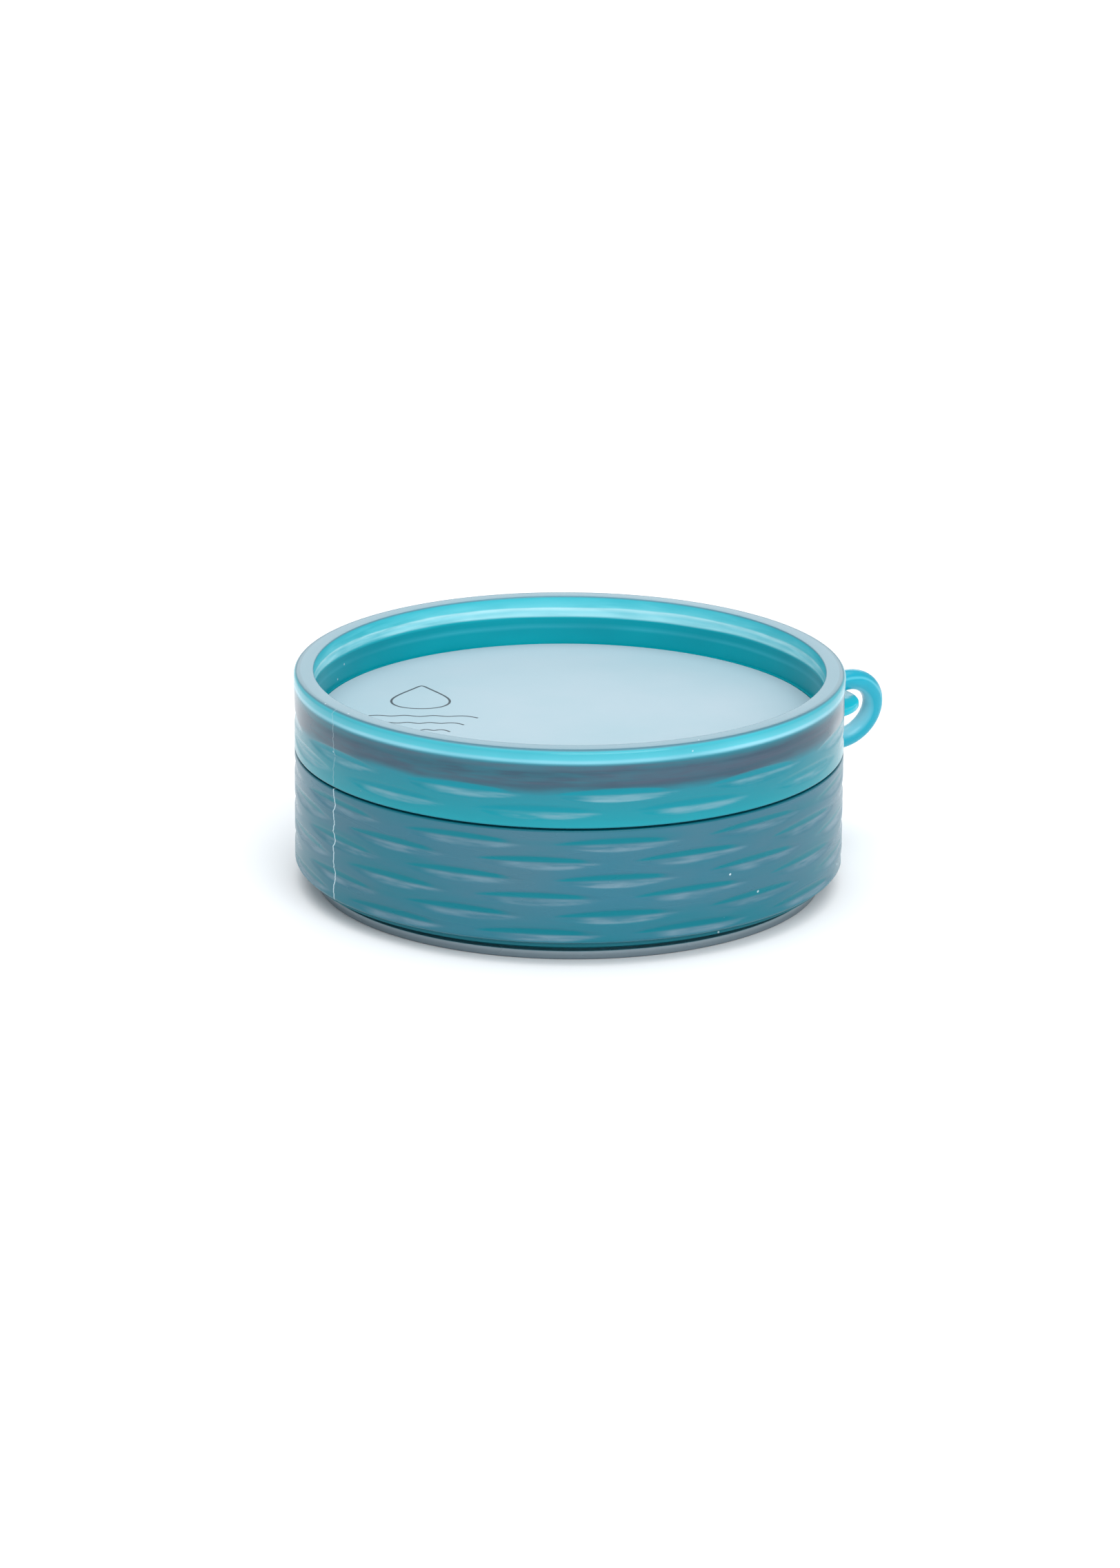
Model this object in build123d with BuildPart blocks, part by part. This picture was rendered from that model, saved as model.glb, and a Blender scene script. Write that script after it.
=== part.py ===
from build123d import *
import math
import os

# A collapsible travel cup, collapsed and with its lid on. Millimetres, +Z up.
# The origin is on the cup's axis, on the surface that the foot stands on.
# The lid's thumb tab, with the carry ring through it, points along +X.

# Sizes across
cup_radius = 39.6  # outside of the outer ring and of the lid's skirt
rim_flare = 0.1  # how much wider the lid's top band is than its skirt
rim_width = 2.85  # the lid's wall at the rim, from its outside to the recess
disc_ledge = 0.4  # round the disc's pocket, in the floor of the recess
skirt_wall = 1.0  # the lid's skirt, round the outer ring's neck
neck_wall = 1.0  # the outer ring's neck, at the drinking lip
ring_wall = 1.1  # each telescoping wall inside the outer ring
ring_count = 4  # loose rings between the base cup and the outer ring
foot_groove = 1.1  # how far the groove above the foot is cut in
plate_margin = 1.3  # how far the base plate stays inside the outer ring

# Heights
foot_height = 1.3  # straight band at the bottom
groove_height = 0.9  # groove above the foot, before the plate flares out
plate_edge = 0.5  # straight edge of the plate that the rings rest over
plate_flare = 0.3  # sloped underside of the plate's edge
body_height = 16.7  # outer ring, from its bottom edge to the seam
neck_height = 2.4  # outer ring's neck above the seam, inside the lid
lid_floor = 1.2  # thickness
disc_thickness = 0.6
recess_depth = 7.2  # from the rim down to the disc
skirt_straight = 5.9  # the lid's outside below the start of its flare
flare_height = 3.8

# Clearances
slide_clearance = 0.4  # radial, between neighbouring rings when collapsed
wedge_gap = 0.05  # radial, what is left of it where the rings stop
ring_overlap = 3.68  # axial, how much of each wall stays inside the next one, pulled out
rest_gap = 0.3  # axial, between stacked parts
lid_fit = 0.1  # radial, between the lid's skirt and the outer ring's neck
stack_fit = 0.3  # radial, between a foot and the recess it can stack in
disc_fit = 0.05  # radial, between the disc and its pocket
relief_inner_radius = 12.0  # shallow ring-shaped relief under the floor
relief_margin = 3.6  # foot's standing ring, from its outside to the relief
relief_depth = 1.0

# Rounded edges
lip_fillet = 0.4
body_fillet = 0.6
seam_fillet = 0.2
rim_fillet = 0.75
recess_fillet = 0.2
cup_corner_fillet = 1.2
foot_fillet = 0.3
tab_fillet = 0.35
disc_fillet = 0.15

# Thumb tab and carry ring
tab_thickness = 1.0
tab_round = 8.0  # radius of the tab's outline
web_width = 3.0  # plastic between the tab's hole and its tip
hole_wall_gap = 0.3  # from the lid's skirt to the edge of the hole
hole_room = 0.9  # radial room round the carry ring in the tab's hole
ring_tube = 1.5  # radius of the carry ring's section
ring_drop = 2.8  # carry ring's centre, below the top of the tab when upright
ring_offset = 0.5  # carry ring's centre, outward from the middle of the web
ring_clearance = 0.27  # between the carry ring's bore and the web's rounded edge
ring_lean = 14.3  # degrees, how far the carry ring leans out of upright

# Levels
groove_top = foot_height + groove_height
plate_top = groove_top + plate_flare + plate_edge
ring_bottom = plate_top + rest_gap
seam = ring_bottom + body_height
ring_top = seam + neck_height
ring_height = ring_top - ring_bottom
lid_bottom = seam + rest_gap
lid_floor_bottom = ring_top + rest_gap
disc_bottom = lid_floor_bottom + lid_floor
disc_top = disc_bottom + disc_thickness
lid_top = disc_top + recess_depth
flare_bottom = lid_bottom + skirt_straight

# Radii
rim_radius = cup_radius + rim_flare
recess_radius = rim_radius - rim_width
pocket_radius = recess_radius - disc_ledge
foot_radius = recess_radius - stack_fit
plate_radius = cup_radius - plate_margin
skirt_bore = cup_radius - skirt_wall
neck_radius = skirt_bore - lid_fit
ring_step = ring_wall + slide_clearance

# Carry ring's place
hole_radius = ring_tube + hole_room
hole_centre = cup_radius + hole_wall_gap + hole_radius
tab_tip = hole_centre + hole_radius + web_width
ring_centre = tab_tip - web_width / 2 + ring_offset
web_reach = web_width / 2 + ring_offset
ring_bore = (
    math.hypot(web_reach - tab_fillet, ring_drop - tab_fillet)
    + tab_fillet
    + ring_clearance
)
ring_middle = ring_bore + ring_tube
pivot_height = lid_bottom + tab_thickness / 2
ring_below_pivot = ring_drop - tab_thickness / 2

# How far each ring slides, and the slope that wedges its wall in the next one there
travel = ring_height - ring_overlap
draft = (slide_clearance - wedge_gap) / travel


def drafted(radius, drop):
    """Radius of a drafted face this far below where it has the given radius."""
    return radius - drop * draft


def wall_radius(steps_in):
    """Outside radius, at the lip, of the wall this many steps inside the outer ring."""
    return neck_radius - neck_wall - slide_clearance - (steps_in - 1) * ring_step


os.makedirs("parts", exist_ok=True)

# Base cup: foot, flared plate under the rings, floor and innermost wall
base_wall = wall_radius(ring_count + 1)
wall_drop = ring_top - plate_top
with BuildPart() as base_cup:
    with BuildSketch(Plane.XZ):
        with BuildLine():
            Polyline(
                (0, 0),
                (foot_radius, 0),
                (foot_radius, foot_height),
                (foot_radius - foot_groove, foot_height),
                (foot_radius - foot_groove, groove_top),
                (plate_radius, groove_top + plate_flare),
                (plate_radius, plate_top),
                (drafted(base_wall, wall_drop), plate_top),
                (base_wall, ring_top),
                (base_wall - ring_wall, ring_top),
                (drafted(base_wall - ring_wall, wall_drop), plate_top),
                (0, plate_top),
                close=True,
            )
        make_face()
    revolve(axis=Axis.Z)
    with BuildSketch(Plane.XY):
        Circle(foot_radius - relief_margin)
        Circle(relief_inner_radius, mode=Mode.SUBTRACT)
    extrude(amount=relief_depth, mode=Mode.SUBTRACT)
    circles = base_cup.edges().filter_by(GeomType.CIRCLE)
    fillet(circles.group_by(Axis.Z)[-1], lip_fillet)
    circles = base_cup.edges().filter_by(GeomType.CIRCLE)
    floor_circles = circles.filter_by_position(Axis.Z, plate_top - 0.01, plate_top + 0.01)
    fillet(floor_circles.sort_by(SortBy.RADIUS)[0], cup_corner_fillet)
    fillet(circles.group_by(Axis.Z)[0].sort_by(SortBy.RADIUS)[-1], foot_fillet)
base_cup.part.label = "base_cup"
export_step(base_cup.part, "parts/base_cup.step")

# Telescoping rings, numbered from the smallest
for number in range(1, ring_count + 1):
    outside = wall_radius(ring_count + 1 - number)
    with BuildPart() as inner_ring:
        with BuildSketch(Plane.XZ):
            with BuildLine():
                Polyline(
                    (drafted(outside, ring_height), ring_bottom),
                    (outside, ring_top),
                    (outside - ring_wall, ring_top),
                    (drafted(outside - ring_wall, ring_height), ring_bottom),
                    close=True,
                )
            make_face()
        revolve(axis=Axis.Z)
        circles = inner_ring.edges().filter_by(GeomType.CIRCLE)
        fillet(circles.group_by(Axis.Z)[-1], lip_fillet)
        fillet(circles.group_by(Axis.Z)[0], seam_fillet)
    inner_ring.part.label = f"inner_ring_{number}"
    export_step(inner_ring.part, f"parts/inner_ring_{number}.step")

# Outer ring: the grip, with a neck that the lid fits over and that one drinks from
with BuildPart() as outer_ring:
    with BuildSketch(Plane.XZ):
        with BuildLine():
            Polyline(
                (drafted(neck_radius - neck_wall, ring_height), ring_bottom),
                (cup_radius, ring_bottom),
                (cup_radius, seam),
                (neck_radius, seam),
                (neck_radius, ring_top),
                (neck_radius - neck_wall, ring_top),
                close=True,
            )
        make_face()
    revolve(axis=Axis.Z)
    circles = outer_ring.edges().filter_by(GeomType.CIRCLE)
    fillet(circles.group_by(Axis.Z)[-1], lip_fillet)
    shoulder = circles.filter_by_position(Axis.Z, seam - 0.01, seam + 0.01)
    fillet(shoulder.sort_by(SortBy.RADIUS)[-1], seam_fillet)
    fillet(circles.group_by(Axis.Z)[0].sort_by(SortBy.RADIUS)[-1], body_fillet)
outer_ring.part.label = "outer_ring"
export_step(outer_ring.part, "parts/outer_ring.step")

# Lid shell: skirt, flared rim, recessed floor and thumb tab
with BuildPart() as lid_shell:
    with BuildSketch(Plane.XZ):
        with BuildLine():
            Polyline(
                (0, lid_floor_bottom),
                (skirt_bore, lid_floor_bottom),
                (skirt_bore, lid_bottom),
                (cup_radius, lid_bottom),
                (cup_radius, flare_bottom),
                (rim_radius, flare_bottom + flare_height),
                (rim_radius, lid_top),
                (recess_radius, lid_top),
                (recess_radius, disc_top),
                (pocket_radius, disc_top),
                (pocket_radius, disc_bottom),
                (0, disc_bottom),
                close=True,
            )
        make_face()
    revolve(axis=Axis.Z)
    rim_circles = lid_shell.edges().filter_by(GeomType.CIRCLE).group_by(Axis.Z)[-1]
    fillet(rim_circles.sort_by(SortBy.RADIUS)[-1], rim_fillet)
    rim_circles = lid_shell.edges().filter_by(GeomType.CIRCLE).group_by(Axis.Z)[-1]
    fillet(rim_circles.sort_by(SortBy.RADIUS)[0], recess_fillet)
    with BuildSketch(Plane.XY.offset(lid_bottom)):
        with Locations((tab_tip - tab_round, 0)):
            Circle(tab_round)
        Circle(cup_radius - skirt_wall / 2, mode=Mode.SUBTRACT)
        with Locations((hole_centre, 0)):
            Circle(hole_radius, mode=Mode.SUBTRACT)
    extrude(amount=tab_thickness)
    tab_radii = (tab_round, hole_radius)
    fillet(
        lid_shell.edges()
        .filter_by(GeomType.CIRCLE)
        .filter_by(lambda edge: any(math.isclose(edge.radius, r) for r in tab_radii)),
        tab_fillet,
    )
lid_shell.part.label = "lid_shell"
export_step(lid_shell.part, "parts/lid_shell.step")

# Lid disc: thin inlay in the pocket in the floor of the recess
with BuildPart() as lid_disc:
    with BuildSketch(Plane.XY.offset(disc_bottom)):
        Circle(pocket_radius - disc_fit)
    extrude(amount=disc_thickness)
    fillet(lid_disc.edges().group_by(Axis.Z)[-1], disc_fillet)
lid_disc.part.label = "lid_disc"
export_step(lid_disc.part, "parts/lid_disc.step")

# Carry ring: hangs through the tab's hole and leans about a radial axis
lean = math.radians(ring_lean)
ring_plane = Plane(
    origin=(
        ring_centre,
        ring_below_pivot * math.sin(lean),
        pivot_height - ring_below_pivot * math.cos(lean),
    ),
    x_dir=(1, 0, 0),
    z_dir=(0, math.cos(lean), math.sin(lean)),
)
with BuildPart(ring_plane) as carry_ring:
    Torus(ring_middle, ring_tube)
carry_ring.part.label = "carry_ring"
export_step(carry_ring.part, "parts/carry_ring.step")

print(f"ring travel {travel:.2f} mm, draft {math.degrees(math.atan(draft)):.2f} degrees")
print(f"closed height {lid_top:.2f} mm")
print(f"foot {foot_radius:.2f}, recess {recess_radius:.2f}, tab tip {tab_tip:.2f}")
print(f"carry ring middle {ring_middle:.3f}, centre {ring_centre:.3f}, pivot {pivot_height:.3f}")
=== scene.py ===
import math

import bpy
from mathutils import Matrix, Vector

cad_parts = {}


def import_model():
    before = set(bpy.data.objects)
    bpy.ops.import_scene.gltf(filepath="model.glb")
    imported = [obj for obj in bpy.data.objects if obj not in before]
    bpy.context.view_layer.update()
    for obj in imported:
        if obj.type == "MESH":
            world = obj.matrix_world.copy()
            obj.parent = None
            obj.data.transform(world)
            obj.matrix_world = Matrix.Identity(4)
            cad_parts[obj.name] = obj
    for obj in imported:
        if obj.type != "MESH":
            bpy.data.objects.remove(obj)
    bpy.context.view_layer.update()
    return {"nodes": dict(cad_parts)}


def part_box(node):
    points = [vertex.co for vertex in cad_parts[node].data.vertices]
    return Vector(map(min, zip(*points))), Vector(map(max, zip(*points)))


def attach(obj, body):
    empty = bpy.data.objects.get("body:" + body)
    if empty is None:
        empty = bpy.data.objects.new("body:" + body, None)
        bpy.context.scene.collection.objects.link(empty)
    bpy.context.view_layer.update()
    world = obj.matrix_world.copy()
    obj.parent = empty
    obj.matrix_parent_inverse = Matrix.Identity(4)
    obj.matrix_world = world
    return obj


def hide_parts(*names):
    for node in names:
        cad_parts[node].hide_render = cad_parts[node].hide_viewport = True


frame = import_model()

# A collapsed travel cup in translucent teal plastic. Metres, in the CAD model's frame:
# +Z up along the cup's axis, the lid's thumb tab and carry ring towards +X.

MM = 0.001

# Wall sizes that the nodes' boxes don't give
DRAFT = math.tan(math.radians(1.3))
RING_WALL = 1.1 * MM
NECK_WALL = 1.0 * MM
SKIRT_WALL = 1.0 * MM
RIM_WIDTH = 2.85 * MM
RIM_FLARE = 0.1 * MM
DISC_LEDGE = 0.4 * MM
LID_FLOOR = 1.2 * MM
NECK_HEIGHT = 2.4 * MM
LID_FIT = 0.1 * MM
SLIDE_CLEARANCE = 0.4 * MM
SKIRT_STRAIGHT = 5.9 * MM
FLARE_HEIGHT = 3.8 * MM
FOOT_HEIGHT = 1.3 * MM
FOOT_GROOVE = 1.1 * MM
GROOVE_HEIGHT = 0.9 * MM
PLATE_EDGE = 0.5 * MM
PLATE_FLARE = 0.3 * MM
RELIEF_DEPTH = 1.0 * MM
RELIEF_INNER = 12.0 * MM
RELIEF_MARGIN = 3.6 * MM
STACK_FIT = 0.3 * MM
TAB_THICKNESS = 1.0 * MM
TAB_ROUND = 8.0 * MM
TAB_EDGE = 0.35 * MM
WEB_WIDTH = 3.0 * MM
HOLE_RADIUS = 2.4 * MM
RING_TUBE = 1.5 * MM
RING_OFFSET = 0.5 * MM
RING_SECTION_SIDES = 28

# Printed motif
MOTIF_CENTRE = Vector((-17.7 * MM, 12.6 * MM, 0))
LINE_WIDTH = 0.34 * MM
LINE_RISE = 0.03 * MM
MOTIF_SIZE = 1.3 * MM

# Moulded waves: long almond-shaped scallops in staggered rows
WAVES_ROUND = 11
WAVE_LENGTH = math.radians(27.5)
WAVE_HEIGHT = 2.3 * MM
WAVE_DEPTH = 0.26 * MM
WAVE_START = math.radians(-109.3)
BODY_ROW_DROP = 2.15 * MM
BODY_ROW_PITCH = 2.65 * MM
BODY_ROWS = 6
LID_ROW_RISE = 2.3 * MM
LID_ROW_PITCH = 2.5 * MM
FAINT_ROW = 0.35  # depth of the lid's top row, which is shape only and carries no painted shade or highlight

# Mesh fineness of the walls that carry waves
WAVY_STEPS = 352
WAVY_STEP_HEIGHT = 0.16 * MM

# Camera
CAMERA_AZIMUTH = math.radians(-29.5)
CAMERA_DISTANCE = 0.940
CAMERA_HEIGHT = 0.316
AIM_HEIGHT = 14.14 * MM
AIM_ASIDE = -1.28 * MM
LENS = 156.7
CAMERA_ROLL = math.radians(0.45)

# How far the parting line is off the plane through the axis and the tab
WITNESS_ASIDE = 2.3 * MM

box = {name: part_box(name) for name in frame["nodes"]}


# --- modelling -------------------------------------------------------------

def deselect():
    if bpy.context.mode != "OBJECT":
        bpy.ops.object.mode_set(mode="OBJECT")
    bpy.ops.object.select_all(action="DESELECT")


def arc(centre, radius, start, end, steps=6):
    """Points of a round corner in the profile plane, angles in degrees."""
    points = []
    for i in range(steps + 1):
        a = math.radians(start + (end - start) * i / steps)
        points.append((centre[0] + radius * math.cos(a), centre[1] + radius * math.sin(a)))
    return points


def divided(start, end, step):
    """Points from start to just before end, no further apart than step."""
    length = math.dist(start, end)
    count = max(1, math.ceil(length / step))
    return [
        (start[0] + (end[0] - start[0]) * i / count, start[1] + (end[1] - start[1]) * i / count)
        for i in range(count)
    ]


def turned(name, profile, steps=240):
    """A turned piece: the closed profile of (radius, height) points, spun about Z."""
    deselect()
    bpy.ops.mesh.primitive_plane_add(size=MM, location=(0, 0, 0))
    piece = bpy.context.object
    piece.name = piece.data.name = name
    bpy.ops.object.mode_set(mode="EDIT")
    bpy.ops.mesh.select_all(action="SELECT")
    bpy.ops.mesh.merge(type="CENTER")
    at = profile[0]
    bpy.ops.transform.translate(value=(at[0], 0, at[1]))
    for point in profile[1:] + profile[:1]:
        step = (point[0] - at[0], 0, point[1] - at[1])
        bpy.ops.mesh.extrude_region_move(TRANSFORM_OT_translate={"value": step})
        at = point
    bpy.ops.mesh.select_all(action="SELECT")
    bpy.ops.mesh.remove_doubles(threshold=MM * 0.001)
    bpy.ops.mesh.spin(steps=steps, angle=math.tau, center=(0, 0, 0), axis=(0, 0, 1))
    bpy.ops.mesh.select_all(action="SELECT")
    bpy.ops.mesh.remove_doubles(threshold=MM * 0.001)
    bpy.ops.mesh.normals_make_consistent(inside=False)
    bpy.ops.object.mode_set(mode="OBJECT")
    return piece


def apply_modifiers(piece):
    deselect()
    piece.select_set(True)
    bpy.context.view_layer.objects.active = piece
    for modifier in list(piece.modifiers):
        bpy.ops.object.modifier_apply(modifier=modifier.name)


def smooth(piece, angle=32):
    deselect()
    piece.select_set(True)
    bpy.context.view_layer.objects.active = piece
    bpy.ops.object.shade_smooth_by_angle(angle=math.radians(angle))


def settle(piece):
    """Puts the object's place and turn into its mesh."""
    deselect()
    piece.select_set(True)
    bpy.context.view_layer.objects.active = piece
    bpy.ops.object.transform_apply(location=True, rotation=True, scale=True)


def hold(value):
    return min(1.0, max(0.0, value))


def wave(angle, height, rows):
    """Depth, painted shade above and painted highlight below, each 0 to 1, at a place on a wall with
    waves:
    the shade is deep teal on a scallop's down-facing upper part, the highlight pale on its up-facing lower
    slope.

    A row is (level, stagger, strength): its height, 1 where it is half a pitch round from
    the start, and how deep it is. A faint row has no painted shade or highlight.
    """
    pitch = math.tau / WAVES_ROUND
    for level, stagger, strength in rows:
        turn = angle - WAVE_START + (stagger + 1) * pitch / 2
        u = (turn % pitch - pitch / 2) / (WAVE_LENGTH / 2)
        if abs(u) >= 1:
            continue
        taper = 1 - u * u
        v = (height - level) / (WAVE_HEIGHT / 2 * taper ** 0.8)
        if abs(v) < 1:
            # Painted shade on the upper part, leaning left, and painted highlight on the lower slope,
            # leaning right, as the light falls.
            painted_shade = hold(2.2 - 4.4 * abs(v - 0.42)) * hold(2.5 - 2.5 * ((u + 0.1) / 0.9) ** 2)
            painted_highlight = hold(1.8 - 3.2 * abs(v + 0.45)) * hold(1.6 - 1.6 * ((u - 0.18) / 0.82) ** 2)
            if strength < 1:
                painted_shade = painted_highlight = 0.0
            return taper * (1 - v * v) * strength, painted_shade, painted_highlight
    return 0.0, 0.0, 0.0


def carve_waves(piece, radius, rows):
    """Sinks the scallops into the piece's outside, and keeps two masks for its material: where it paints
    shade and where it paints a highlight.
    """
    group = piece.vertex_groups.new(name="waves")
    masks = {"wave_pure": [], "wave_milky": []}
    for vertex in piece.data.vertices:
        x, y, z = vertex.co
        depth = painted_shade = painted_highlight = 0.0
        if math.hypot(x, y) > radius - 0.05 * MM:
            depth, painted_shade, painted_highlight = wave(math.atan2(y, x), z, rows)
        if depth > 0:
            group.add([vertex.index], depth, "REPLACE")
        masks["wave_pure"].append(painted_shade)
        masks["wave_milky"].append(painted_highlight)
    for name, values in masks.items():
        mask = piece.data.attributes.new(name, "FLOAT", "POINT")
        mask.data.foreach_set("value", values)
    sink = piece.modifiers.new("waves", "DISPLACE")
    sink.direction = "NORMAL"
    sink.mid_level = 0
    sink.strength = -WAVE_DEPTH
    sink.vertex_group = group.name
    apply_modifiers(piece)


# --- shader nodes ----------------------------------------------------------

class Value:
    """A shader socket that takes part in Python arithmetic."""

    def __init__(self, paint, socket):
        self.paint = paint
        self.socket = socket

    def _math(self, operation, *values):
        return self.paint.node("ShaderNodeMath", {"operation": operation}, dict(enumerate(values)))

    def __add__(self, other):
        return self._math("ADD", self, other)

    def __sub__(self, other):
        return self._math("SUBTRACT", self, other)

    def __rsub__(self, other):
        return self._math("SUBTRACT", other, self)

    def __mul__(self, other):
        return self._math("MULTIPLY", self, other)

    def __pow__(self, other):
        return self._math("POWER", self, other)

    def __gt__(self, other):
        return self._math("GREATER_THAN", self, other)

    def __lt__(self, other):
        return self._math("LESS_THAN", self, other)

    __radd__ = __add__
    __rmul__ = __mul__


class Paint:
    """One material, and the nodes behind its shader."""

    def __init__(self, name):
        self.material = bpy.data.materials.new(name)
        self.material.use_nodes = True
        self.tree = self.material.node_tree
        self.shader = self.tree.nodes["Principled BSDF"]
        self.output = self.tree.nodes["Material Output"]
        self.place = self.node("ShaderNodeTexCoord", out="Object")

    def node(self, kind, settings=None, values=None, out=0):
        made = self.tree.nodes.new(kind)
        for key, setting in (settings or {}).items():
            if key == "stops":
                ramp = made.color_ramp
                while len(ramp.elements) < len(setting):
                    ramp.elements.new(0.5)
                for element, (position, colour) in zip(ramp.elements, setting):
                    element.position = position
                    element.color = (*colour, 1)
            else:
                setattr(made, key, setting)
        for key, value in (values or {}).items():
            self.fill(made.inputs[key], value)
        return Value(self, made.outputs[out])

    def fill(self, socket, value):
        """Links a value to a socket, or sets a number or a colour on it."""
        if isinstance(value, Value):
            self.tree.links.new(value.socket, socket)
        elif socket.type == "RGBA":
            socket.default_value = (*value, 1)
        else:
            socket.default_value = value

    def noise(self, scale, detail=3, roughness=0.5, squash=None):
        place = self.place
        if squash:
            place = self.node("ShaderNodeMapping", None, {"Vector": place, "Scale": squash})
        values = {"Vector": place, "Scale": scale, "Detail": detail, "Roughness": roughness}
        return self.node("ShaderNodeTexNoise", None, values, out="Fac")

    def axis(self, letter):
        return self.node("ShaderNodeSeparateXYZ", None, {"Vector": self.place}, out=letter)

    def along(self):
        return self.axis("X")

    def across(self):
        return self.axis("Y")

    def height(self):
        return self.axis("Z")

    def radius(self):
        x, y = self.along(), self.across()
        return (x * x + y * y) ** 0.5

    def ramp(self, value, *stops):
        return self.node("ShaderNodeValToRGB", {"stops": stops}, {"Fac": value}, out="Color")

    def between(self, value, low, high):
        """value, mapped from low..high to 0..1 and held there."""
        values = {"Value": value, "From Min": low, "From Max": high}
        return self.node("ShaderNodeMapRange", None, values, out="Result")

    def mixed(self, factor, first, second):
        """Two colours mixed: 0, 6 and 7 are a colour Mix node's inputs, 2 its output."""
        return self.node("ShaderNodeMix", {"data_type": "RGBA"}, {0: factor, 6: first, 7: second}, out=2)

    def attribute(self, name):
        return self.node("ShaderNodeAttribute", {"attribute_name": name}, out="Fac")

    def set(self, **values):
        for key, value in values.items():
            self.fill(self.shader.inputs[key.replace("_", " ")], value)

    def bump(self, height, distance, strength=1.0):
        values = {"Height": height, "Distance": distance, "Strength": strength}
        self.set(Normal=self.node("ShaderNodeBump", None, values, out="Normal"))

    def absorb(self, colour, density):
        """Tints light by how far it goes through the plastic."""
        tint = self.node("ShaderNodeVolumeAbsorption", None, {"Color": colour, "Density": density})
        self.fill(self.output.inputs["Volume"], tint)


LID_SPAN = (20 * MM, 32 * MM)
PLASTIC_IOR = 1.5
PALE_SCUFF = (0.50, 0.66, 0.72)
PALE_DUST = (0.55, 0.70, 0.75)


def bands(paint, height, low, high, *levels):
    """Colours by height above the foot: each level is (millimetres, colour)."""
    stops = [((level * MM - low) / (high - low), colour) for level, colour in levels]
    return paint.ramp(paint.between(height, low, high), *stops)


def flow_lines(paint):
    return paint.noise(38, detail=2, squash=(1, 1, 8))


def fine_streaks(paint):
    """Thin pale streaks, a few millimetres long, that lie along the waves; 0 to 1. They break the painted
    highlight on the waves into streaks.
    """
    return paint.between(paint.noise(170, detail=3, squash=(1, 1, 9)), 0.36, 0.64)


def dust(paint, scale, size):
    """Sparse pale specks."""
    settings = {"feature": "F1"}
    values = {"Vector": paint.place, "Scale": scale, "Randomness": 1.0}
    near = paint.node("ShaderNodeTexVoronoi", settings, values, out="Distance")
    rare = paint.noise(scale * 0.2, detail=1) > 0.60
    return paint.between(near, size, size * 0.5) * rare


def witness_line(paint):
    """The mould's parting line: a fine, pale, slightly jagged line up the side away from the tab."""
    wander = paint.noise(560, detail=4, squash=(0, 0, 1)) - 0.5
    off = paint.across() + WITNESS_ASIDE + wander * 1.7 * MM
    line = paint.between(off * off, (0.13 * MM) ** 2, (0.07 * MM) ** 2)
    broken = paint.noise(700, detail=2, squash=(0, 0, 1)) > 0.40
    return line * broken * (paint.along() < 0) * (paint.radius() > 39.0 * MM)


def body_finish():
    """Deep teal, half-clear plastic, with painted light on each wave: painted shade, a deeper clear teal,
    on its upper part, and a pale painted highlight on its lower slope.
    """
    paint = Paint("teal body plastic")
    flow, fine = flow_lines(paint), fine_streaks(paint)
    clouds = paint.noise(55, detail=4)
    z = paint.height()
    painted_shade, painted_highlight = paint.attribute("wave_pure"), paint.attribute("wave_milky")
    tone = paint.mixed(paint.between(clouds, 0.35, 0.7), (0.026, 0.158, 0.224), (0.048, 0.155, 0.212))
    tone = paint.mixed(paint.between(flow, 0.50, 0.72) * 0.6, tone, (0.002, 0.165, 0.215))
    # Painted highlight, broken into streaks, on the waves' lower slopes; painted shade, deep teal, on
    # their upper parts.
    tone = paint.mixed(painted_highlight * (0.15 + 0.85 * fine), tone, (0.125, 0.240, 0.305))
    tone = paint.mixed(painted_shade * 0.95, tone, (0.000, 0.185, 0.235))
    rich = paint.between(z, 10 * MM, 4 * MM) * (1 - painted_highlight) * (0.25 + 0.5 * paint.between(flow, 0.35, 0.65))
    tone = paint.mixed(rich, tone, (0.000, 0.160, 0.212))
    # Painted shade: a thin dark teal band round the body's top outer edge, where it meets the lid.
    edge = paint.between(z, 19.70 * MM, 19.85 * MM) * (paint.radius() > 38.6 * MM)
    tone = paint.mixed(edge, tone, (0.000, 0.120, 0.165))
    # Below 3.2 mm: the foot painted slate grey as painted reflection of the floor, with a pale painted
    # highlight line at 1.15 mm, and teal above it.
    low = paint.between(z, 3.25 * MM, 3.15 * MM)
    base = bands(
        paint, z, 0.0, 3.2 * MM,
        (0.0, (0.130, 0.175, 0.205)), (0.7, (0.180, 0.235, 0.268)), (1.15, (0.290, 0.360, 0.400)),
        (1.35, (0.004, 0.160, 0.205)), (3.1, (0.004, 0.140, 0.180)),
    )
    tone = paint.mixed(low, tone, base)
    tone = paint.mixed(witness_line(paint), tone, PALE_SCUFF)
    tone = paint.mixed(dust(paint, 420, 0.10) * 0.8, tone, PALE_DUST)
    paint.set(Base_Color=tone, Roughness=0.24 + 0.12 * paint.between(flow, 0.3, 0.8))
    paint.set(IOR=PLASTIC_IOR, Specular_IOR_Level=0.08, Transmission_Weight=0.12)
    paint.set(Coat_Weight=(0.24 - 0.20 * painted_shade) * (1 - 0.5 * low), Coat_Roughness=0.2)
    paint.bump(paint.noise(500, detail=2), 0.01 * MM, 0.15)
    paint.absorb((0.02, 0.80, 0.86), 500)
    return paint


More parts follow.
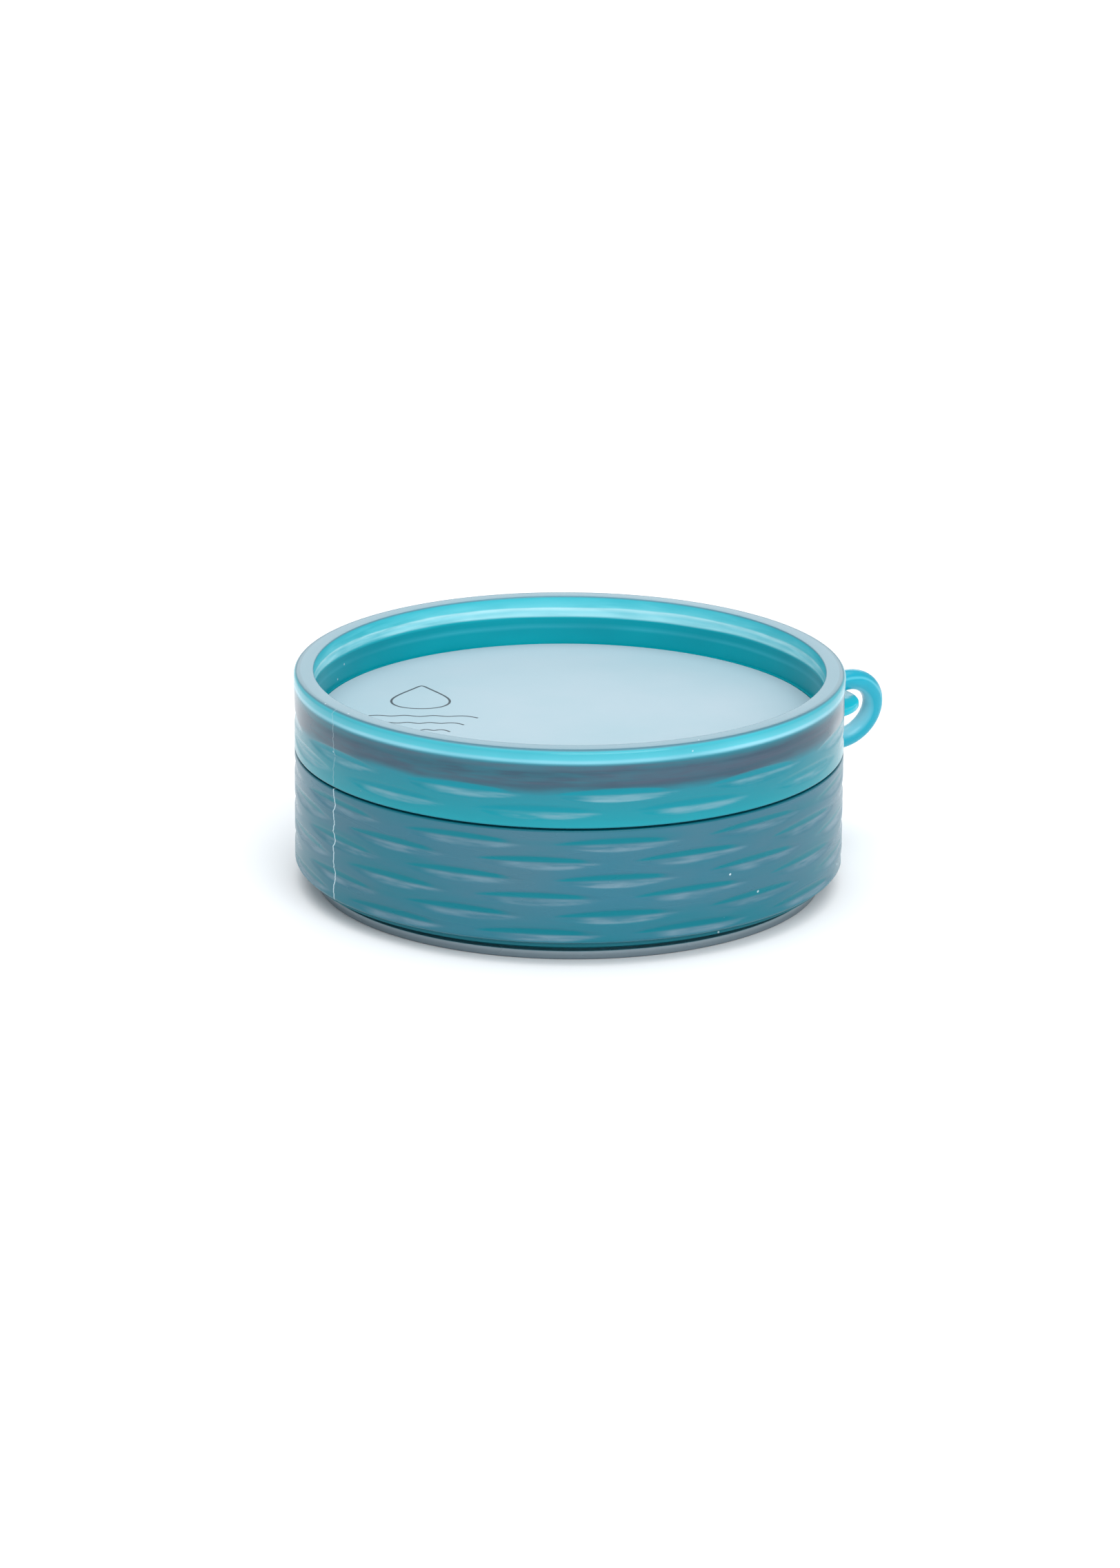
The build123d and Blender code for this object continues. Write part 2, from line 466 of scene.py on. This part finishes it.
def lid_rim(paint, flow, uneven):
    """The rim's band: a bright line where light gathers, duller in places."""
    height = paint.height() + (flow - 0.5) * 0.5 * MM
    bright = bands(
        paint, height, 29 * MM, 32 * MM,
        (29.5, (0.020, 0.280, 0.360)), (29.95, (0.380, 0.760, 0.880)), (30.15, (0.380, 0.760, 0.880)),
        (30.4, (0.120, 0.580, 0.680)), (31.3, (0.050, 0.460, 0.550)),
    )
    dull = bands(
        paint, height, 29 * MM, 32 * MM,
        (29.5, (0.020, 0.240, 0.310)), (30.0, (0.090, 0.430, 0.530)), (30.6, (0.050, 0.400, 0.490)),
        (31.3, (0.050, 0.380, 0.460)),
    )
    return paint.mixed(0.15 + 0.75 * uneven, bright, dull)


def lid_outside(paint, flow, fine, uneven, painted_shade, painted_highlight):
    """Clear teal with waves at the bottom, which carry painted shade and a painted highlight, a streaky
    slate band of painted shade, the rim, and the tab.
    """
    height = paint.height()
    clouds = paint.noise(70, detail=3, squash=(1, 1, 4))
    # Painted shade: a streaky slate band from about 26.5 to 28.4 mm, between the teal below and the rim's
    # bright band.
    tone = bands(
        paint, height + (clouds - 0.5) * 2.2 * MM, *LID_SPAN,
        (20.4, (0.000, 0.290, 0.355)), (21.4, (0.000, 0.262, 0.325)), (25.2, (0.010, 0.218, 0.283)),
        (26.5, (0.034, 0.082, 0.122)), (28.4, (0.030, 0.066, 0.105)), (29.3, (0.018, 0.150, 0.200)),
    )
    # Mauve streaks in the painted shade band.
    mauve = paint.between(paint.noise(30, detail=4, squash=(1, 1, 22)), 0.46, 0.62)
    mauve = mauve * paint.between(height, 26.0 * MM, 26.8 * MM)
    tone = paint.mixed(mauve * 0.7, tone, (0.070, 0.082, 0.125))
    # Teal streaks that break up the painted shade band's lower edge.
    clear = uneven * paint.between(height, 25.8 * MM, 27.0 * MM)
    tone = paint.mixed(clear * (0.12 + 0.36 * fine), tone, (0.012, 0.190, 0.245))
    # Painted highlight on the waves' lower slopes, painted shade on their upper parts.
    tone = paint.mixed(painted_highlight * (0.15 + 0.85 * fine), tone, (0.130, 0.330, 0.400))
    tone = paint.mixed(painted_shade * 0.9, tone, (0.000, 0.250, 0.320))
    tone = paint.mixed(paint.between(height, 29.3 * MM, 29.8 * MM), tone, lid_rim(paint, flow, uneven))
    # Painted shade: a thin dark teal band round the lid's bottom edge, where it meets the body.
    tone = paint.mixed(paint.between(height, 20.5 * MM, 20.35 * MM), tone, (0.000, 0.120, 0.170))
    return paint.mixed(paint.radius() > 39.9 * MM, tone, (0.004, 0.480, 0.600))


def lid_inside(paint, flow, fine, uneven):
    """The recess wall: dark teal below with one lighter line, and near the rim pale bands of painted
    light, as light shining through the thick rim.
    """
    # The pale bands from 28.75 mm up are painted light.
    tone = bands(
        paint, paint.height() + (flow - 0.5) * 0.9 * MM, *LID_SPAN,
        (24.5, (0.000, 0.400, 0.470)), (26.6, (0.000, 0.380, 0.450)), (27.0, (0.050, 0.500, 0.600)),
        (27.6, (0.000, 0.370, 0.440)), (28.45, (0.000, 0.360, 0.430)), (28.75, (0.480, 0.880, 0.940)),
        (29.4, (0.360, 0.820, 0.900)), (29.9, (0.620, 0.950, 1.000)), (30.1, (0.190, 0.710, 0.800)),
        (31.5, (0.070, 0.580, 0.670)),
    )
    # Below 28.4 mm darker teal in patches; above it the painted light is dulled in streaks.
    under = paint.between(paint.height(), 28.6 * MM, 28.2 * MM)
    tone = paint.mixed(under * (0.25 + 0.55 * uneven), tone, (0.000, 0.245, 0.310))
    return paint.mixed((1 - under) * uneven * (0.25 + 0.5 * fine), tone, (0.030, 0.470, 0.560))


def lid_finish():
    """The same plastic, clearer: bright where light gathers in the thick rim, with a slate band of painted
    shade below it.
    """
    paint = Paint("teal lid plastic")
    flow, fine = flow_lines(paint), fine_streaks(paint)
    uneven = paint.between(paint.noise(24, detail=3, squash=(1, 1, 3)), 0.38, 0.62)
    painted_shade, painted_highlight = paint.attribute("wave_pure"), paint.attribute("wave_milky")
    outer = paint.radius() > 38.0 * MM
    top = paint.between(paint.height(), 31.45 * MM, 31.62 * MM)
    tone = paint.mixed(
        outer, lid_inside(paint, flow, fine, uneven), lid_outside(paint, flow, fine, uneven, painted_shade, painted_highlight)
    )
    tone = paint.mixed(top, tone, (0.090, 0.250, 0.320))
    # A thin darker ring painted on the top, 38.7 to 38.85 mm from the axis; no groove is cut there.
    groove = paint.between(paint.radius(), 38.7 * MM, 38.85 * MM) * top
    tone = paint.mixed(groove * 0.6, tone, (0.050, 0.170, 0.225))
    tone = paint.mixed(witness_line(paint) * 0.25, tone, PALE_SCUFF)
    tone = paint.mixed(dust(paint, 420, 0.08) * 0.7, tone, PALE_DUST)
    paint.set(Base_Color=tone, Roughness=0.18 + 0.10 * paint.between(flow, 0.3, 0.8))
    paint.set(IOR=PLASTIC_IOR, Specular_IOR_Level=0.08, Transmission_Weight=0.16)
    coat = outer * (1 - top) * (0.26 - 0.22 * painted_shade) + top * 0.24
    paint.set(Coat_Weight=coat + 0.04, Coat_Roughness=0.15)
    paint.bump(paint.noise(160, detail=2), 0.006 * MM, 0.15)
    paint.absorb((0.0, 0.80, 0.86), 300)
    return paint


def carry_ring_centre():
    low, high = box["carry_ring"]
    along = box["lid_shell"][1].x - WEB_WIDTH / 2 + RING_OFFSET
    return Vector((along, (low.y + high.y) / 2, (low.z + high.z) / 2))


def ring_finish():
    """Aqua plastic with painted highlights: pale on the side towards the ring's hole, with a light line
    near its outer edge.
    """
    paint = Paint("aqua ring plastic")
    values = {0: paint.place, 1: carry_ring_centre()}
    reach = paint.node("ShaderNodeVectorMath", {"operation": "DISTANCE"}, values, "Value")
    flow = paint.noise(200, detail=2)
    # Painted highlights, by distance from the ring's middle: pale inside, a light line at 6.1 mm.
    tone = bands(
        paint, reach + (flow - 0.5) * 0.5 * MM, 3.5 * MM, 6.7 * MM,
        (3.6, (0.330, 0.720, 0.830)), (4.3, (0.160, 0.590, 0.720)), (4.8, (0.008, 0.430, 0.570)),
        (5.9, (0.005, 0.400, 0.540)), (6.1, (0.110, 0.560, 0.690)), (6.3, (0.005, 0.380, 0.520)),
    )
    paint.set(Base_Color=tone, Roughness=0.18 + 0.08 * flow)
    paint.set(IOR=PLASTIC_IOR, Specular_IOR_Level=0.25, Transmission_Weight=0.25)
    paint.bump(paint.noise(1200, detail=2), 0.02 * MM, 0.3)
    paint.absorb((0.0, 0.85, 0.92), 200)
    return paint


def disc_finish():
    paint = Paint("pale disc plastic")
    clouds = paint.noise(40, detail=4)
    tone = paint.mixed(paint.between(clouds, 0.3, 0.7), (0.335, 0.465, 0.520), (0.385, 0.485, 0.540))
    paint.set(Base_Color=tone, Specular_IOR_Level=0.2)
    paint.set(Roughness=0.62 + 0.12 * paint.noise(300, detail=2))
    paint.bump(paint.noise(2500, detail=2), 0.01 * MM, 0.6)
    return paint


def line_finish():
    paint = Paint("dark grey print")
    worn = paint.noise(3000, detail=2)
    paint.set(Base_Color=paint.mixed(worn, (0.02, 0.035, 0.05), (0.05, 0.075, 0.09)))
    paint.set(Roughness=0.6)
    return paint


def dress(piece, paint):
    piece.data.materials.clear()
    piece.data.materials.append(paint.material)


body_plastic = body_finish()
lid_plastic = lid_finish()
ring_plastic = ring_finish()
disc_plastic = disc_finish()
print_ink = line_finish()


# --- pieces ----------------------------------------------------------------

def plain_ring(name):
    """One of the telescoping rings, drafted, with rounded lips."""
    low, high = box[name]
    top, bottom, outside = high.z, low.z, high.x
    drop = (top - bottom) * DRAFT
    inside = outside - RING_WALL
    lip, foot = 0.4 * MM, 0.2 * MM
    profile = (
        arc((outside - drop - foot, bottom + foot), foot, -90, 0, 3)
        + arc((outside - lip, top - lip), lip, 0, 90)
        + arc((inside + lip, top - lip), lip, 90, 180)
        + arc((inside - drop + foot, bottom + foot), foot, 180, 270, 3)
    )
    return turned(name.replace("inner_ring", "nesting_ring"), profile)


def outer_ring():
    low, high = box["outer_ring"]
    top, bottom, outside = high.z, low.z, high.x
    seam = top - NECK_HEIGHT
    skirt_bore = outside - SKIRT_WALL
    neck = skirt_bore - LID_FIT
    inside = neck - NECK_WALL
    drop = (top - bottom) * DRAFT
    lip, edge, shoulder = 0.4 * MM, 0.6 * MM, 0.2 * MM
    wall_bottom = (outside, bottom + edge)
    wall_top = (outside, seam - shoulder)
    profile = (
        arc((outside - edge, bottom + edge), edge, -90, 0)[:-1]
        + divided(wall_bottom, wall_top, WAVY_STEP_HEIGHT)
        + arc((outside - shoulder, seam - shoulder), shoulder, 0, 90, 4)
        + [(neck, seam)]
        + arc((neck - lip, top - lip), lip, 0, 90)
        + arc((inside + lip, top - lip), lip, 90, 180)
        + [(inside - drop, bottom)]
    )
    piece = turned("grip_ring", profile, steps=WAVY_STEPS)
    rows = [(seam - BODY_ROW_DROP - k * BODY_ROW_PITCH, k % 2, 1.0) for k in range(BODY_ROWS)]
    carve_waves(piece, outside, rows)
    return piece


def lid_wall():
    low, high = box["lid_shell"]
    top, bottom = high.z, low.z
    rim = high.y
    skirt = rim - RIM_FLARE
    bore = skirt - SKIRT_WALL
    recess = rim - RIM_WIDTH
    pocket = recess - DISC_LEDGE
    disc_low, disc_high = box["lid_disc"]
    floor = disc_low.z - LID_FLOOR
    flare = bottom + SKIRT_STRAIGHT
    rim_edge, recess_edge = 0.75 * MM, 0.2 * MM
    foot = 0.12 * MM
    profile = (
        [(0, floor), (bore, floor), (bore, bottom)]
        + arc((skirt - foot, bottom + foot), foot, -90, 0, 3)
        + divided((skirt, bottom + foot), (skirt, flare), WAVY_STEP_HEIGHT)[1:]
        + [(skirt, flare), (skirt + RIM_FLARE * 0.5, flare + FLARE_HEIGHT * 0.5)]
        + [(rim, flare + FLARE_HEIGHT)]
        + arc((rim - rim_edge, top - rim_edge), rim_edge, 0, 90, 8)
        + arc((recess + recess_edge, top - recess_edge), recess_edge, 90, 180, 6)
        + [(recess, disc_high.z), (pocket, disc_high.z), (pocket, disc_low.z), (0, disc_low.z)]
    )
    piece = turned("lid_cap", profile, steps=WAVY_STEPS)
    low_row = bottom + LID_ROW_RISE
    strengths = (1.0, 1.0, FAINT_ROW)
    rows = [(low_row + k * LID_ROW_PITCH, 1 - k % 2, strength) for k, strength in enumerate(strengths)]
    carve_waves(piece, skirt, rows)
    return piece


def round_slab(name, radius, thickness, place, sides):
    deselect()
    bpy.ops.mesh.primitive_cylinder_add(vertices=sides, radius=radius, depth=thickness, location=place)
    slab = bpy.context.object
    slab.name = slab.data.name = name
    settle(slab)
    return slab


def thumb_tab(skirt, bottom):
    """The D-shaped tab with its round hole, rooted inside the lid's skirt."""
    tip = box["lid_shell"][1].x
    hole = tip - WEB_WIDTH - HOLE_RADIUS
    middle = bottom + TAB_THICKNESS / 2
    tab = round_slab("thumb_tab", TAB_ROUND, TAB_THICKNESS, (tip - TAB_ROUND, 0, middle), 96)
    drill = round_slab("drill", HOLE_RADIUS, TAB_THICKNESS * 3, (hole, 0, middle), 64)
    core = round_slab("core", skirt - SKIRT_WALL * 0.5, TAB_THICKNESS * 3, (0, 0, middle), 240)
    for tool in (drill, core):
        cut = tab.modifiers.new("cut", "BOOLEAN")
        cut.operation = "DIFFERENCE"
        cut.object = tool
    apply_modifiers(tab)
    bpy.data.objects.remove(drill)
    bpy.data.objects.remove(core)
    rounding = tab.modifiers.new("edge", "BEVEL")
    rounding.width = TAB_EDGE
    rounding.segments = 4
    rounding.limit_method = "ANGLE"
    rounding.angle_limit = math.radians(50)
    apply_modifiers(tab)
    return tab


def lid_with_tab():
    lid = lid_wall()
    tab = thumb_tab(box["lid_shell"][1].y - RIM_FLARE, box["lid_shell"][0].z)
    join = lid.modifiers.new("tab", "BOOLEAN")
    join.operation = "UNION"
    join.object = tab
    apply_modifiers(lid)
    bpy.data.objects.remove(tab)
    return lid


def base_cup():
    high = box["base_cup"][1]
    top = high.z
    plate = high.x
    recess = box["lid_shell"][1].y - RIM_WIDTH
    foot = recess - STACK_FIT
    first = box["inner_ring_1"][1].x
    wall = first - RING_WALL - SLIDE_CLEARANCE
    groove = FOOT_HEIGHT + GROOVE_HEIGHT
    floor = groove + PLATE_FLARE + PLATE_EDGE
    drop = (top - floor) * DRAFT
    lip, foot_edge, corner = 0.4 * MM, 0.3 * MM, 1.2 * MM
    inner = wall - RING_WALL
    profile = (
        [(0, 0), (RELIEF_INNER, 0), (RELIEF_INNER, RELIEF_DEPTH)]
        + [(foot - RELIEF_MARGIN, RELIEF_DEPTH), (foot - RELIEF_MARGIN, 0)]
        + arc((foot - foot_edge, foot_edge), foot_edge, -90, 0, 4)
        + [(foot, FOOT_HEIGHT), (foot - FOOT_GROOVE, FOOT_HEIGHT)]
        + [(foot - FOOT_GROOVE, groove), (plate, groove + PLATE_FLARE), (plate, floor)]
        + [(wall - drop, floor)]
        + arc((wall - lip, top - lip), lip, 0, 90)
        + arc((inner + lip, top - lip), lip, 90, 180)
        + arc((inner - drop - corner, floor + corner), corner, 0, -90, 6)
        + [(0, floor)]
    )
    return turned("base_cup_wall", profile)


def carry_ring():
    low, high = box["carry_ring"]
    middle = (high.x - low.x) / 2 - RING_TUBE
    lean = math.acos(((high.z - low.z) / 2 - RING_TUBE) / middle)
    profile = arc((middle, 0), RING_TUBE, 0, 360, RING_SECTION_SIDES)[:-1]
    ring = turned("carry_loop", profile, steps=120)
    ring.rotation_euler.x = lean - math.pi / 2
    ring.location = carry_ring_centre()
    settle(ring)
    return ring


def printed_line(name, points, closed):
    """A fine line printed on the disc, through points given to the right of and beyond its middle."""
    right = Vector((math.cos(CAMERA_AZIMUTH), math.sin(CAMERA_AZIMUTH), 0))
    beyond = Vector((-right.y, right.x, 0))
    top = box["lid_disc"][1].z
    deselect()
    bpy.ops.curve.primitive_nurbs_path_add()
    line = bpy.context.object
    line.name = line.data.name = name
    spline = line.data.splines[0]
    spline.points.add(len(points) - len(spline.points))
    for point, (aside, away) in zip(spline.points, points):
        spot = MOTIF_CENTRE + (right * aside + beyond * away) * MOTIF_SIZE
        point.co = (spot.x, spot.y, 0, 1)
    spline.use_cyclic_u = closed
    spline.use_endpoint_u = not closed
    spline.order_u = 4
    line.data.resolution_u = 10
    line.data.bevel_depth = LINE_WIDTH / 2
    line.data.bevel_resolution = 2
    bpy.ops.object.convert(target="MESH")
    line.scale = (1, 1, LINE_RISE / LINE_WIDTH)
    line.location = (0, 0, top + LINE_RISE * 0.3)
    settle(line)
    dress(line, print_ink)
    smooth(line, 60)
    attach(line, "lid")
    return line


def printed_motif():
    """A plain water drop above three ripples."""
    drop = [(0, 9.5), (-0.7, 8.2), (-2.6, 5.6), (-3.6, 3.2), (-2.6, 0.9), (0, 0.2)]
    drop += [(-x, y) for x, y in reversed(drop[1:-1])]
    printed_line("drop_outline", drop, True)
    for number, (width, level) in enumerate(((13.0, -2.6), (10.0, -5.2), (7.0, -7.8)), start=1):
        count = 9
        ripple = [
            (width * (i / (count - 1) - 0.5), level + (0.9 if i % 2 else -0.3)) for i in range(count)
        ]
        printed_line(f"ripple_{number}", ripple, False)


cup = base_cup()
dress(cup, body_plastic)
smooth(cup)
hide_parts("base_cup")
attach(cup, "base")

for number in range(1, 5):
    ring = plain_ring(f"inner_ring_{number}")
    dress(ring, body_plastic)
    smooth(ring)
    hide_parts(f"inner_ring_{number}")
    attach(ring, f"ring_{number}")

grip = outer_ring()
dress(grip, body_plastic)
smooth(grip)
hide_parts("outer_ring")
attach(grip, "grip_ring")

lid = lid_with_tab()
dress(lid, lid_plastic)
smooth(lid)
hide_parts("lid_shell")
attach(lid, "lid")

disc = frame["nodes"]["lid_disc"]
dress(disc, disc_plastic)
printed_motif()

loop = carry_ring()
dress(loop, ring_plastic)
smooth(loop, 60)
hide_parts("carry_ring")
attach(loop, "loop")


# --- floor, light and camera ------------------------------------------------

def floor():
    deselect()
    bpy.ops.mesh.primitive_plane_add(size=6, location=(0, 0, -0.02 * MM))
    sheet = bpy.context.object
    sheet.name = "floor"
    paint = Paint("pale paper")
    paint.set(Base_Color=paint.mixed(paint.noise(8), (0.90, 0.91, 0.92), (0.93, 0.94, 0.95)))
    paint.set(Roughness=0.9, Specular_IOR_Level=0.1)
    dress(sheet, paint)


def softbox(name, azimuth, elevation, distance, size, power):
    """A large area light that faces the cup from a compass direction seen from the camera's side."""
    a = CAMERA_AZIMUTH + math.radians(azimuth)
    e = math.radians(elevation)
    toward = Vector((math.sin(a) * math.cos(e), -math.cos(a) * math.cos(e), math.sin(e)))
    lamp = bpy.data.lights.new(name, "AREA")
    lamp.shape = "RECTANGLE"
    lamp.size, lamp.size_y = size
    lamp.energy = power
    holder = bpy.data.objects.new(name, lamp)
    holder.location = toward * distance + Vector((0, 0, AIM_HEIGHT))
    holder.rotation_mode = "QUATERNION"
    holder.rotation_quaternion = toward.to_track_quat("Z", "Y")
    bpy.context.scene.collection.objects.link(holder)


def world():
    sky = bpy.data.worlds.new("studio")
    bpy.context.scene.world = sky
    sky.use_nodes = True
    back = sky.node_tree.nodes["Background"]
    back.inputs["Color"].default_value = (0.95, 0.97, 1.0, 1)
    back.inputs["Strength"].default_value = 0.7


def camera():
    sight = bpy.data.cameras.new("camera")
    sight.lens = LENS
    sight.sensor_width = 36  # millimetres, as the lens
    holder = bpy.data.objects.new("camera", sight)
    bpy.context.scene.collection.objects.link(holder)
    back = Vector((math.sin(CAMERA_AZIMUTH), -math.cos(CAMERA_AZIMUTH), 0))
    aside = Vector((math.cos(CAMERA_AZIMUTH), math.sin(CAMERA_AZIMUTH), 0))
    holder.location = back * CAMERA_DISTANCE + Vector((0, 0, CAMERA_HEIGHT))
    aim = aside * AIM_ASIDE + Vector((0, 0, AIM_HEIGHT))
    look = aim - holder.location
    holder.rotation_mode = "QUATERNION"
    turn = look.to_track_quat("-Z", "Y")
    holder.rotation_quaternion = turn @ Matrix.Rotation(CAMERA_ROLL, 3, "Z").to_quaternion()
    bpy.context.scene.camera = holder


floor()
world()
softbox("back softbox", 180, 22, 1.6, (1.3, 0.6), 3.6)
softbox("front softbox", 18, 30, 1.5, (1.2, 0.8), 13)
softbox("top softbox", 0, 86, 1.2, (1.5, 1.5), 11)
camera()
bpy.context.scene.view_settings.view_transform = "Standard"
